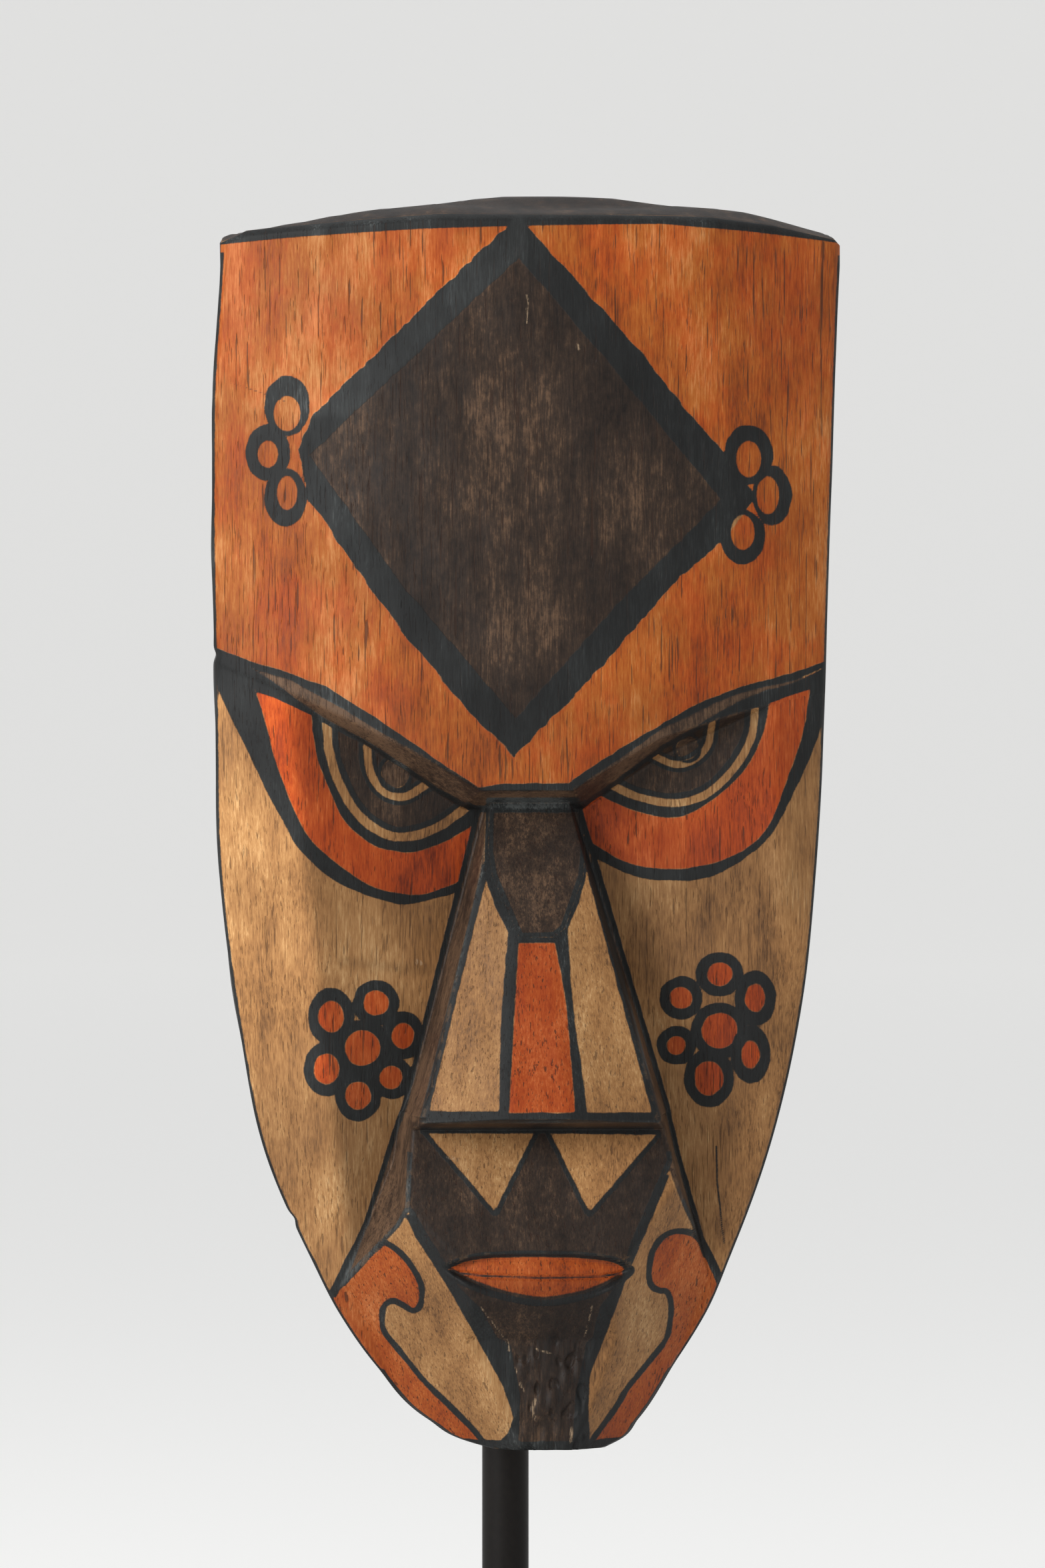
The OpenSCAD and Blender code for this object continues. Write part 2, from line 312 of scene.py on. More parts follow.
def front_grid():
    """Rows that crowd at the nose's underside and the brow, columns that keep to the walls."""
    even = np.linspace(0, 1, 2000)
    height = even * FRONT_TOP
    crowd = 1 + 2.5 * np.exp(-((height - 109.6) / 4) ** 2) + 1.2 * np.exp(-((height - 219) / 7) ** 2)
    crowd = np.cumsum(crowd)
    t = np.interp(np.linspace(0, 1, ROWS + 1), (crowd - crowd[0]) / (crowd[-1] - crowd[0]), even)
    v0 = t * FRONT_TOP
    left, right = outline_at(v0)
    marks = np.cumsum([0] + COLUMN_GROUPS)
    away = np.maximum(smooth_step(216, 300, v0), smooth_step(80, 58, v0))
    left_foot, left_rim, right_foot, right_rim = wall_lines(np.clip(v0, 20, 222))
    left_foot = np.maximum(left_foot, left + 3)
    right_foot = np.minimum(right_foot, right - 3)
    left_rim = np.maximum(left_rim, left_foot + 1.6)
    right_rim = np.minimum(right_rim, right_foot - 1.6)
    controls = [left]
    for mark, line in zip(marks[1:-1], (left_foot, left_rim, right_rim, right_foot)):
        controls.append(line * (1 - away) + (left + (right - left) * mark / COLUMNS) * away)
    controls = np.stack(controls + [right], axis=1)
    column = np.arange(COLUMNS + 1)
    x = np.stack([np.interp(column, marks, row) for row in controls])
    v = t[:, None] * np.interp(x, TOP_EDGE[:, 0], TOP_EDGE[:, 1])
    d = relief(x, v) + knife_marks(x, v)
    # the painted edges are worn round
    edge = np.minimum(np.minimum(x - x[:, :1], x[:, -1:] - x), (1 - t[:, None]) * FRONT_TOP)
    d -= 1.3 * smooth_step(2.2, 0, edge) ** 2
    return t, x, v, d, edge


def hollow_depth(x, v):
    """Depth of the gouged hollow behind the face."""
    rim_w = 16
    height = np.clip(v, 0, 404)
    left = through(OUTLINE[:, 0], OUTLINE[:, 1], height) + rim_w
    right = through(OUTLINE[:, 0], OUTLINE[:, 2], height) - rim_w
    inside = np.minimum(np.minimum(x - left, right - x) * 0.85, np.minimum(v - 24, 388 - v) * 0.9)
    bowl = 29.0 - x**2 / 810 - 4 * smooth_step(120, 40, v)
    shape = np.sqrt(np.clip(inside / 24, 0, 1))
    lane = x / 13 + 0.3 * np.sin(v / 47)
    row = v / 46 + 0.5 * np.floor(lane) * 0.73
    scallop = (2 * (lane % 1) - 1) ** 2 * 1.0 + (2 * (row % 1) - 1) ** 2 * 0.8
    return np.clip(bowl * shape - scallop * smooth_step(0, 8, inside), 0, None)


def carve_mask():
    """One closed mesh: face, side walls, hewn top, underside and hollow back.

    Returns the mesh, each vertex's own x, v, d, the part of the mask that it belongs to, and how
    far each point of the face lies from the face's edge."""
    t, fx, fv, fd, edge = front_grid()
    half = COLUMNS // 2
    draft = 1.6
    left, right = fx[:, :1], fx[:, -1:]
    bx = left + draft + (right - left - 2 * draft) * (fx[:, ::2] - left) / (right - left)
    bv = t[:, None] * np.interp(bx, CREST[:, 0], CREST[:, 1])
    bd = hollow_depth(bx, bv)

    verts, tags = [], []

    def add(x, v, d, tag):
        base = sum(map(len, verts))
        verts.append(np.stack([x.ravel(), v.ravel(), d.ravel()], axis=1))
        tags.append(np.full(x.size, tag))
        return base + np.arange(x.size).reshape(x.shape)

    f_id = add(fx, fv, fd, FACE)
    b_id = add(bx, bv, bd, BACK)

    def between(front, back, steps):
        """Inner points of a strip that joins two edges, each (x, v, d)."""
        w = (np.arange(1, steps) / steps)[None, :]
        return [f[:, None] * (1 - w) + b[:, None] * w for f, b in zip(front, back)]

    faces = []

    def quads(grid):
        corners = [grid[:-1, :-1], grid[:-1, 1:], grid[1:, 1:], grid[1:, :-1]]
        faces.append(np.stack(corners, axis=-1).reshape(-1, 4))

    quads(f_id)
    quads(b_id[:, ::-1])
    walls = []
    for col, flip in ((0, True), (-1, False)):
        x, v, d = between(
            (fx[:, col], fv[:, col], fd[:, col]), (bx[:, col], bv[:, col], bd[:, col]), WALL_STEPS)
        side = -1 if flip else 1
        swell = np.sin(np.linspace(0, np.pi, WALL_STEPS + 1)[1:-1])[None, :]
        x = np.clip(x + side * swell * (0.2 + 0.2 * ripple(d, v, 30)), -LEFT_REACH, 106)
        strip = np.hstack([f_id[:, col][:, None], add(x, v, d, SIDE), b_id[:, col][:, None]])
        walls.append(strip)
        quads(strip[:, ::-1] if flip else strip)

    def cap(front_row, back_row, left_strip, right_strip, grid_front, grid_back, tag, up):
        """The top or the underside, from the face's edge to the back's edge."""
        x_f, v_f, d_f = grid_front
        x_b, v_b, d_b = [np.interp(np.arange(COLUMNS + 1) / 2, np.arange(half + 1), g) for g in grid_back]
        w = (np.arange(1, WALL_STEPS) / WALL_STEPS)[:, None]
        x = x_f * (1 - w) + x_b * w
        d = d_f * (1 - w) + d_b * w
        if up:
            rise = np.clip((d_f - d) * 0.22, 0, None)
            v = np.minimum(v_f + rise, np.maximum(v_b, v_f))
            hew = smooth_step(0, 6, x - x_f.min()) * smooth_step(0, 6, x_f.max() - x) * np.sin(w * np.pi)
            v = v + hew * (0.6 * ripple(x * 0.5, d, 20) - 0.4)
            v = np.minimum(v, MASK_H)
        else:
            v = v_f * (1 - w) + v_b * w
        inner = add(x[:, 1:-1], v[:, 1:-1], d[:, 1:-1], tag)
        rows = [front_row]
        for k in range(WALL_STEPS - 1):
            rows.append(np.concatenate([[left_strip[k]], inner[k], [right_strip[k]]]))
        grid = np.array(rows)
        quads(grid if up else grid[::-1])
        # the back has half as many columns
        last = grid[-1]
        a, m, b = last[0:-2:2], last[1:-1:2], last[2::2]
        c0, c1 = back_row[:-1], back_row[1:]
        tris = [(a, m, c0), (m, c1, c0), (m, b, c1)]
        if not up:
            tris = [(p, r, q) for p, q, r in tris]
        return [np.stack(tr, axis=-1) for tr in tris]

    triangles = []
    for row, tag, up in ((-1, TOP, True), (0, UNDER, False)):
        triangles += cap(
            f_id[row], b_id[row], walls[0][row][1:-1], walls[1][row][1:-1],
            (fx[row], fv[row], fd[row]), (bx[row], bv[row], bd[row]), tag, up)

    own = np.vstack(verts)
    tag = np.concatenate(tags)
    all_quads, all_tris = np.vstack(faces), np.vstack(triangles)
    mesh = bpy.data.meshes.new("carved_mask")
    loops = np.concatenate([all_quads.ravel(), all_tris.ravel()])
    starts = np.concatenate([
        np.arange(len(all_quads)) * 4, len(all_quads) * 4 + np.arange(len(all_tris)) * 3])
    mesh.vertices.add(len(own))
    mesh.vertices.foreach_set("co", world(*own.T).astype(np.float32).ravel())
    mesh.loops.add(len(loops))
    mesh.loops.foreach_set("vertex_index", loops.astype(np.int32))
    mesh.polygons.add(len(starts))
    mesh.polygons.foreach_set("loop_start", starts.astype(np.int32))
    mesh.update(calc_edges=True)
    mesh.validate()
    mesh.shade_smooth()
    return mesh, own, tag, edge


# ---------------------------------------------------------------- the painted pattern
DIAMOND_OUT = [
    (-3.5, 412), (-7, 407.5), (-36.5, 379.5), (-56, 360), (-71, 345.5), (-76, 334), (-73, 317.5),
    (-63, 303.5), (-52.5, 288.5), (-38.5, 269.5), (-15, 242), (-4, 232), (14, 250), (27.5, 264.5),
    (51.5, 291.5), (66, 304), (77, 318.5), (66, 333.5), (51.5, 349.5), (39.5, 364.5), (20, 386.5),
    (0.5, 407.5)]
DIAMOND_IN = [
    (-2.5, 397.5), (-38, 364), (-72.5, 332), (-40, 287), (-3.5, 244.5), (30, 282), (65, 317.5),
    (33, 356)]
BROW_TOP = np.array([
    (-108, 269.5), (-92.5, 263.5), (-82.5, 260.5), (-67, 255), (-51.5, 245.5), (-41, 238.5),
    (-27.5, 229), (-16, 221.5), (-5.5, 222.8), (14, 222.8), (18.5, 226), (27.5, 232),
    (42.5, 241), (57.5, 249.5), (72, 255), (89, 259.5), (108, 266)])
LEDGE_TOP = np.array([
    (-108, 268), (-92.8, 261.3), (-79.4, 257.3), (-68, 251.1), (-59.8, 246.7), (-51.6, 241.5),
    (-33.6, 231.4), (-19.4, 222.6), (-15.5, 220.3), (15.9, 220.3), (22.2, 225.2), (34.7, 233.3),
    (45, 240.9), (53.8, 244.9), (62.6, 249.3), (71.5, 252.8), (80.3, 255), (90, 257), (108, 265)])
LEDGE_LOW = np.array([
    (-108, 268), (-92.8, 261.3), (-85.1, 256.9), (-76.9, 250.7), (-66.3, 243.6), (-53.5, 237),
    (-41, 229), (-31, 222), (-17, 214), (17, 214), (22.2, 218.3), (29, 223), (45, 235),
    (53.8, 240), (62.6, 245.3), (71.5, 250.2), (80.3, 253.7), (90, 256.3), (108, 265)])
# the brow's black paint also fills the ends of the eyes
BROW_END_LEFT = [
    (-106, 268), (-92.8, 263), (-79.4, 258), (-66, 251), (-60, 243), (-67, 244.5), (-72, 245.4),
    (-84.3, 251.2), (-90.6, 253.2), (-93, 258), (-106, 258)]
BROW_END_RIGHT = [
    (108, 266), (89, 259.5), (72, 255), (58, 248), (62, 244), (72, 246.5), (79.5, 248.5),
    (87.3, 251.5), (95.7, 254.1), (99, 253), (108, 252)]
# the rings beside the diamond: centre, outer radii, centre of the hole, its radii
RINGS = [
    (-80, 348.5, 7.6, 10.1, -80, 346, 4.5, 5.8), (-86.5, 333, 7.6, 9.4, -86.5, 332.5, 3.4, 4.5),
    (-80.5, 318, 7.2, 9.8, -80, 319.5, 3.4, 5.6), (74.5, 332.5, 8.3, 10.1, 74.5, 331, 4.2, 6),
    (82.5, 319, 6.7, 10.1, 81, 319, 3.8, 6.3), (72.5, 305, 7.6, 9.2, 72.5, 306.5, 4, 5.8)]

LEFT_EYE = {
    "outer": [(-106, 262), (-104, 255.5), (-99.5, 245.5), (-93, 232.5), (-87, 220), (-80, 207),
              (-76.5, 201), (-68.5, 193), (-61.5, 188.5), (-51.5, 184.5), (-41, 182), (-31, 184),
              (-21.5, 186.5), (-8, 191)],
    "inner": [(-93.5, 266), (-92, 258), (-87.5, 243.5), (-84.5, 231.5), (-80.5, 220.5),
              (-76.5, 211), (-71.5, 203), (-63, 195.5), (-53.5, 189), (-44.5, 186), (-34, 185.5),
              (-20.5, 190.5), (-8, 196)],
    "ring_out": [(-73, 254), (-72, 245.5), (-70, 231.5), (-65.5, 219.5), (-60.5, 209.5),
                 (-51.5, 202), (-44.5, 200), (-38, 199.5), (-27.5, 203), (-18, 208.5), (-8, 216)],
    "band": [(-67.5, 251), (-66.8, 242), (-65.5, 231), (-61, 219.2), (-55, 210.8), (-47, 205.6),
             (-39.5, 204.8), (-30, 207.8), (-21.2, 213.8), (-8, 224)],
    "arc": [(-53.5, 240), (-53.3, 233.3), (-52.5, 227), (-49.5, 221.5), (-45, 218.5), (-40, 218.4),
            (-33.5, 222.3), (-22, 230)],
    "close": [(-8, 275), (-106, 275)], "pupil": (-44, 226, 4.6, 5), "widths": (1.5, 1.4)}
RIGHT_EYE = {
    "outer": [(103, 252), (100, 243.5), (96, 232.5), (91.5, 222.5), (83, 206.5), (75.5, 199),
              (61.5, 191), (46.5, 190), (36, 191.5), (24, 197), (8, 206)],
    "inner": [(97, 258), (95.5, 253.5), (93, 239.5), (88, 225), (81.5, 208.5), (72, 199.5),
              (57.5, 194.5), (43, 194), (32.5, 196.5), (22, 202.5), (8, 211)],
    "ring_out": [(82, 256), (81.5, 250.5), (79.5, 239.5), (74, 228), (64.5, 218.5), (55, 212.5),
                 (48, 211), (37.5, 213), (29, 216.5), (10, 226)],
    "band": [(77, 256), (76.7, 248), (75.5, 238), (70, 228), (61, 219.3), (50.5, 216), (39, 217.6),
             (29.5, 221.6), (10, 232)],
    "arc": [(62.5, 248), (62, 241), (61, 235.5), (57, 230.8), (50.5, 228.8), (43.5, 231.5),
            (34, 237)],
    "close": [(8, 275), (103, 275)], "pupil": (54, 234.5, 3.6, 3.8), "widths": (1.3, 1.2)}

# a coat's field is cut off this far from its border, so that it interpolates evenly there
COAT_LIMIT = 3.0
# the raised middle of the face below the brow, nose and jaw together
WEDGE = [
    (-15.2, 215), (-40.5, 114), (-43.5, 106), (-53.3, 75), (-61, 58), (-70, 40), (-30, -20),
    (40, -20), (72, 40), (65, 54.5), (58.3, 69.8), (55.4, 80.3), (50.5, 97.6), (46.8, 114),
    (17, 215)]
KEYSTONE = [
    (-12.4, 216), (18.6, 216), (19.7, 200), (19, 192), (12.8, 174.6), (9.4, 171.8), (-2.3, 171.5),
    (-11.3, 192), (-12.7, 200)]
NOSE_FACE = [(-14.2, 194), (-13.5, 218), (18, 218), (21.6, 196), (44.3, 111), (-34.8, 111)]
STRIP = [(-2.6, 169.8), (9.4, 169.8), (11.5, 160), (13.5, 147.5), (16.3, 114), (-5.8, 114)]
NOSE_LEFT = [
    (-13.5, 190.8), (-10.6, 182.2), (-6.1, 173.2), (-7.5, 158.5), (-8.6, 142), (-9, 114.4),
    (-32.3, 114.3)]
NOSE_RIGHT = [
    (20.2, 193), (17.7, 183.6), (13.8, 174.6), (14.9, 156), (16.3, 142), (18.4, 128), (20.2, 114),
    (41.7, 113.6)]
MUZZLE_AREA = [
    (-38.5, 110), (-39.5, 82), (-29, 65), (-27.5, 60), (33.5, 60), (35, 68.5), (48, 97), (46, 110)]
TRI_LEFT = [(-33, 106.3), (2.5, 106), (-10.5, 80.5)]
TRI_RIGHT = [(8, 106), (43.5, 105.5), (21, 80)]
CHIN_FACETS = [
    (-27, 60), (-15, 48), (-12.5, 43), (-9.5, 38), (-5.5, 36), (-2, 18.5), (-3, -6), (15, -6),
    (16.5, 18.5), (20, 36), (22, 38), (24.5, 48.5), (31.5, 58)]
CHIN_BLACK = [
    (-40, 79), (-36.5, 71.5), (-27, 57), (-23, 50), (-14.5, 34.5), (-7.5, 21.5), (-4, 11),
    (-6, 5.5), (-13, -2), (-13, -8), (28, -8), (21, 3), (20.5, 14), (21, 25.5), (25.5, 36.5),
    (33.5, 59), (47.5, 92)]
SCROLL_LEFT = [
    (-61.5, 55), (-54, 63.5), (-49.5, 68), (-47, 69.3), (-42.5, 66.5), (-38.5, 62), (-35.5, 56.5),
    (-35, 51.5), (-35.8, 48), (-38, 46.5), (-41, 48), (-44.5, 49.5), (-47.5, 48), (-48.5, 44.5),
    (-48, 39.5), (-44.5, 34.5), (-39.5, 28.5), (-33.5, 21.5), (-24.5, 13), (-16, 4), (-12, -2)]
SCROLL_RIGHT = [
    (60.5, 64), (58.5, 69), (55.5, 72), (50, 73), (45.5, 71.2), (42.2, 66.5), (41, 59.5),
    (41.8, 55), (44.5, 53), (47, 52.5), (48.5, 49), (48.5, 43), (47, 36), (42, 29.5), (34, 20),
    (30, 13.5), (22.5, 3.5), (19, -2)]
JAW_PLANE_LEFT = [
    (-39.5, 82), (-43.1, 75.5), (-47.3, 71), (-56, 61.6), (-62.5, 54), (-120, 53), (-120, -30),
    (10, -30), (0, 40)]
JAW_PLANE_RIGHT = [
    (48.6, 96), (49.4, 91.8), (53.3, 81.4), (56.3, 75), (58.5, 69.8), (65.8, 53.5), (120, 53),
    (120, -30), (-10, -30), (0, 40)]
# the flowers' discs: centre and radii
LEFT_FLOWER = [
    (-55, 134, 6, 6), (-65.5, 144.5, 4.3, 5.4), (-50.5, 149, 4.3, 4.3), (-41.5, 138, 3.8, 4.3),
    (-45.5, 124, 3.8, 3.8), (-56.5, 118, 4.3, 4.7), (-67, 127, 4.3, 5.1)]
RIGHT_FLOWER = [
    (65, 139.5, 6, 6), (65, 158.5, 4.3, 4), (77, 150.5, 3.4, 4.7), (75.5, 131.5, 3.1, 4.7),
    (61.5, 123.5, 4.9, 5.8), (50.5, 134.5, 3.1, 3.1), (52, 150.5, 3.8, 3.8)]

# lower edge of the black band along the top, and the smudge below the left eye
TOP_BAND = np.array([
    (-105, 402.5), (-80, 404.5), (-36, 407), (0, 408), (45, 409), (75, 407), (106, 404)])
SMUDGE = [(-62, 163), (-50, 161.5), (-34, 160)]
# strokes, each with half its width: bare chips in the paint, and open cracks
CHIPS = [
    ([(-15.2, 48.5), (-7.3, 37.7)], 0.15), ([(-6.5, 37), (-5.8, 33.5)], 0.3),
    ([(-3.8, 28), (-3.2, 26)], 0.2), ([(-2, 22.5), (-1, 20)], 0.45),
    ([(3, 17), (2, 14), (2.8, 10.5)], 0.5),
    ([(15.3, 7.5), (14.6, 2.6)], 0.45), ([(3.5, 33.9), (8, 32.6)], 0.3), ([(22, 49), (19.5, 38)], 0.15),
    ([(-26, 98.5), (-23, 97.4)], 0.55), ([(0.3, 385), (0, 376)], 0.4), ([(17, 368.5), (17.4, 367)], 0.4),
    ([(-37, 163), (-35.8, 162.3)], 0.8)]
CRACKS = [
    ([(64, 100.5), (64.3, 88), (65.3, 80), (65.8, 74), (66.7, 68)], 0.3),
    ([(-99.5, 356.5), (-90, 353.5), (-80.5, 350)], 0.15)]


def strokes(group, x, v):
    return either(*[line_distance(points, x, v) - width for points, width in group])


def eye_fields(eye, x, v):
    """Signed fields of an eye's nested outlines."""
    out = {}
    for name in ("outer", "inner", "ring_out", "band", "arc"):
        out[name] = field(np.vstack([curve(eye[name]), eye["close"]]), x, v)
    out["widths"] = eye["widths"]
    out["pupil"] = oval(*eye["pupil"], x, v)
    return out


def paint(x, v, d, edge):
    """The orange, dark and black coats over the face as signed fields in mm, below 0 where a coat
    lies, and the fields of the places that tones() shades."""
    u = x + LEAN * (d - FLAT_D)
    hand = 0.22 * ripple(x, v, 9) + 0.1 * ripple(x, v, 3)
    diamond_out = field(DIAMOND_OUT, u, v) + hand
    diamond_in = field(DIAMOND_IN, u, v) + 0.5 * hand
    brow_top = np.interp(u, BROW_TOP[:, 0], BROW_TOP[:, 1]) + 0.5 * hand
    ledge_top = np.interp(u, LEDGE_TOP[:, 0], LEDGE_TOP[:, 1]) + 0.3 * hand
    ledge_low = np.interp(u, LEDGE_LOW[:, 0], LEDGE_LOW[:, 1]) + 0.4 * hand
    ledge = both(v - ledge_top, ledge_low - v, np.abs(u) - 92.8)
    above_brow = brow_top - v
    below_ledge = v - ledge_low
    wedge = field(WEDGE, u, v)
    eye_zone = both(below_ledge, -wedge)
    left, right = eye_fields(LEFT_EYE, u, v), eye_fields(RIGHT_EYE, u, v)

    # the wide fields
    forehead = both(above_brow, -diamond_out)
    orange = [forehead]
    dark = [both(above_brow, diamond_in - 0.4), ledge - 0.4]
    black = [
        both(above_brow, diamond_out, -diamond_in),
        both(v - brow_top, ledge_top - v),
        both(v - ledge_low, ledge_low - 1.9 - v, np.abs(u) - 91, 18 - np.abs(u)),
        both(either(field(BROW_END_LEFT, u, v), field(BROW_END_RIGHT, u, v)), v - ledge_low),
        both(v - ledge_low - 1, ledge_low - 1.2 - v, np.abs(u) - 20),
        np.interp(u, TOP_BAND[:, 0], TOP_BAND[:, 1]) - v,
        both(edge - 0.9, v - 400) + 0.2 * hand,
        both(either(edge - 1.6, v - 3), v - 26) + 0.4 * hand,
        strokes(CRACKS, u, v)]
    holes = []
    for cx, cv, rx, rv, hx, hv, hrx, hrv in RINGS:
        black.append(both(oval(cx, cv, rx, rv, u, v) + 0.4 * hand, -oval(hx, hv, hrx, hrv, u, v)))
        holes.append(oval(hx, hv, hrx, hrv, u, v))
    black[0] = both(black[0], -either(*holes))

    # eyes: an outline, orange, a black ring, a tan band, the iris with a tan arc, and the pupil
    line_w = 2.0
    for eye in (left, right):
        band_w, arc_w = eye["widths"]
        band = np.abs(eye["band"]) - band_w
        arc = np.abs(eye["arc"]) - arc_w
        lines = either(
            both(eye["outer"], -eye["inner"]), both(eye["ring_out"], band_w - eye["band"]),
            both(eye["band"] + band_w, -eye["band"] - band_w - line_w),
            both(arc - 1.4, -arc), np.abs(eye["pupil"] - 0.8) - 0.6)
        black.append(both(lines + 0.3 * hand, eye_zone))
        orange.append(both(eye["inner"], -eye["ring_out"], eye_zone))
        dark.append(both(eye["band"] + band_w, -arc, -eye["pupil"], eye_zone))
        dark.append(both(eye["pupil"], eye_zone))

    # flowers
    for x0, v0, rx, rv in LEFT_FLOWER + RIGHT_FLOWER:
        disc = oval(x0, v0, rx, rv, u, v) + 0.4 * hand
        black.append(both(disc - 3.5, -disc, -wedge))
        orange.append(both(disc, -wedge))

    # nose
    nose, strip = field(NOSE_FACE, u, v), field(STRIP, u, v)
    nose_left, nose_right = field(NOSE_LEFT, u, v), field(NOSE_RIGHT, u, v)
    fields_on_nose = either(nose_left, nose_right, strip)
    keystone = field(KEYSTONE, u, v)
    black.append(both(nose, -fields_on_nose + 0.3 * hand, -keystone))
    orange.append(both(strip, nose))
    dark.append(keystone)
    black.append(both(np.abs(keystone + 0.8) - 0.8, nose))
    # side walls of the raised middle
    muzzle_area, chin_black = field(MUZZLE_AREA, u, v), field(CHIN_BLACK, u, v)
    face_front = either(muzzle_area, chin_black)
    scroll_left = field(np.vstack([curve(SCROLL_LEFT), [(-12, -30), (-120, -30), (-120, 52)]]), u, v)
    scroll_right = field(
        np.vstack([curve(SCROLL_RIGHT), [(19, -30), (120, -30), (120, 50), (66, 53.5)]]), u, v)
    jaw_plane_left = field(JAW_PLANE_LEFT, u, v)
    jaw_plane_right = field(JAW_PLANE_RIGHT, u, v)
    jaw_planes = either(jaw_plane_left, jaw_plane_right)
    wall = both(wedge, -nose, -face_front, -jaw_planes - 0.9)
    dark.append(wall)
    foot_w = 0.9 + 0.6 * smooth_step(70, 62, v)
    black.append(both(np.abs(wedge - 0.6) - foot_w, below_ledge + 0.1, 50 - v) + 0.2 * hand)
    black.append(both(np.abs(nose - 0.1) - 0.7, v - 196))
    black.append(both(np.abs(jaw_planes) - 0.7, v - 84, wedge, 27 - np.abs(u - 3), -chin_black))
    scrolls = either(both(scroll_left, jaw_plane_left), both(scroll_right, jaw_plane_right))
    scrolls = both(scrolls, -chin_black, either(wedge, v - 50))
    orange.append(scrolls)
    for line, plane_field in ((SCROLL_LEFT, jaw_plane_left), (SCROLL_RIGHT, jaw_plane_right)):
        black.append(both(line_distance(curve(line), u, v) - 1.05 + 0.3 * hand, plane_field))

    # muzzle, lips and chin
    lips = field(LIPS, u, v) + 0.2 * hand
    tri_right = field(TRI_RIGHT, u, v)
    triangles = either(field(TRI_LEFT, u, v), tri_right) + 0.3 * hand
    muzzle = both(muzzle_area - 0.8, -triangles, -lips)
    chin = both(field(CHIN_FACETS, u, v), -lips, v - 61)
    dark += [muzzle, chin - 1.2]
    orange.append(lips)
    black.append(both(lips - 2.2, -lips))
    black.append(both(chin_black - 0.3, -muzzle_area, -chin, -lips) + 0.3 * hand)
    black.append(both(np.abs(muzzle_area) - 0.9 + 0.3 * hand, v - 100, 28 - np.abs(u - 4)))
    black.append(both(triangles - 1.6, -triangles, 60 - v, muzzle_area))
    black.append(both(np.abs(v - 107.3) - 1.2 + 0.3 * hand, np.abs(u - 3.5) - 39))
    black.append(both(np.abs(line_distance(LIP_CREASE, u, v)) - 0.35, lips + 1))
    return either(*orange), either(*dark), either(*black), dict(
        wall=wall, forehead=forehead, diamond=diamond_in, muzzle=muzzle, chin=chin, wedge=wedge,
        lips=lips, left=left, right=right, ledge=ledge, scrolls=scrolls,
        strip=strip, tri_right=tri_right, chip=strokes(CHIPS, u, v),
        # where the diamond's black border gets a painted sheen, at its upper left
        sheen_border=both(diamond_out, -diamond_in, u, 345 - v),
        nose_left=nose_left, nose_right=nose_right)


def spot(value, width=1.5):
    """1 well inside a field and 0 outside it."""
    return smooth_step(width / 2, -width / 2, value)


def tones(x, v, f):
    """The wear and darkness of the wood and its stain from place to place: the first shifts the
    coats along their range of colours, the second is their brightness, which also holds painted
    light and shade on the cheeks and painted sheen on the forehead and the diamond's border,
    and the third is how red the orange is."""
    tone = 0.06 * ripple(x, v * 0.35, 38) + 0.04 * ripple(x, v * 0.5, 15)
    shade = 1 + 0.05 * ripple(x, v, 45)
    # the forehead is painted paler on the left and at the top, for stain worn thin there together with a
    # painted sheen from the light on the upper left
    worn_and_sheen = smooth_step(30, -60, x) * smooth_step(300, 370, v)
    tone += spot(f["forehead"], 4) * (0.2 * worn_and_sheen - 0.02)
    tone += 0.3 * spot(f["wall"]) + 0.3 * spot(f["ledge"])
    tone += 0.2 * spot(f["left"]["pupil"]) + 0.2 * spot(f["right"]["pupil"])
    # painted light and shade on the cheeks: the outer planes, most on the left where they face the key
    # lamp, are painted paler than the inner ones; the lower left cheek is also darker
    cheek = smooth_step(262, 250, v) * smooth_step(-1, 2, f["wedge"])
    left_break, right_break = -52.5 - 0.109 * v, 48.5 + 0.229 * v
    shade *= 1 + cheek * (x < 0) * (0.75 * smooth_step(3, -4, x - left_break) - 0.08)
    shade *= 1 - cheek * (x > 0) * (0.1 - 0.12 * smooth_step(-4, 3, x - right_break))
    shade *= 1 - 0.32 * cheek * (x < 0) * smooth_step(150, 115, v)
    shade *= 1 + spot(f["nose_left"]) * 0.05 + spot(f["nose_right"]) * 0.12
    shade *= 1 - 0.2 * spot(f["chin"], 3) - 0.1 * smooth_step(60, 50, v) * (f["wedge"] < 0)
    # a painted sheen: the upper left of the diamond's black border is painted up to 1.8 times brighter
    shade *= 1 + spot(f["forehead"], 4) * (0.14 - 0.1 * worn_and_sheen) + 0.8 * spot(f["sheen_border"], 3)
    shade *= 1 - 0.16 * spot(f["strip"]) - 0.2 * spot(f["lips"]) * smooth_step(60, 57, v)
    shade *= 1 - 0.2 * smooth_step(3.2, 0, line_distance(SMUDGE, x, v))
    shade *= 1 + 0.25 * spot(f["tri_right"]) - 0.08 * spot(f["scrolls"])
    rust = np.clip(1 - spot(f["forehead"], 4) - 0.5 * spot(f["scrolls"], 3) - 0.4 * spot(f["lips"]), 0, 1)
    return tone, shade, rust


def put_attribute(mesh, name, values):
    mesh.attributes.new(name, "FLOAT", "POINT").data.foreach_set("value", np.asarray(values, np.float32))


def blurred(a, reach):
    """A box blur of a grid, reach cells each way."""
    for axis in (0, 1):
        pad = [(0, 0), (0, 0)]
        pad[axis] = (reach + 1, reach)
        c = np.cumsum(np.pad(a, pad, mode="edge"), axis=axis)
        n = 2 * reach + 1
        a = (c[n:] - c[:-n]) / n if axis == 0 else (c[:, n:] - c[:, :-n]) / n
    return a


def raised(d, columns, reach, outward):
    """How far each point stands out from the wood around it; outward is 1 where more depth
    stands out, and -1 in the hollow."""
    grid = d.reshape(ROWS + 1, columns + 1)
    return (outward * (grid - blurred(grid, reach))).ravel()


def limited(coat):
    return np.clip(coat, -COAT_LIMIT, COAT_LIMIT)


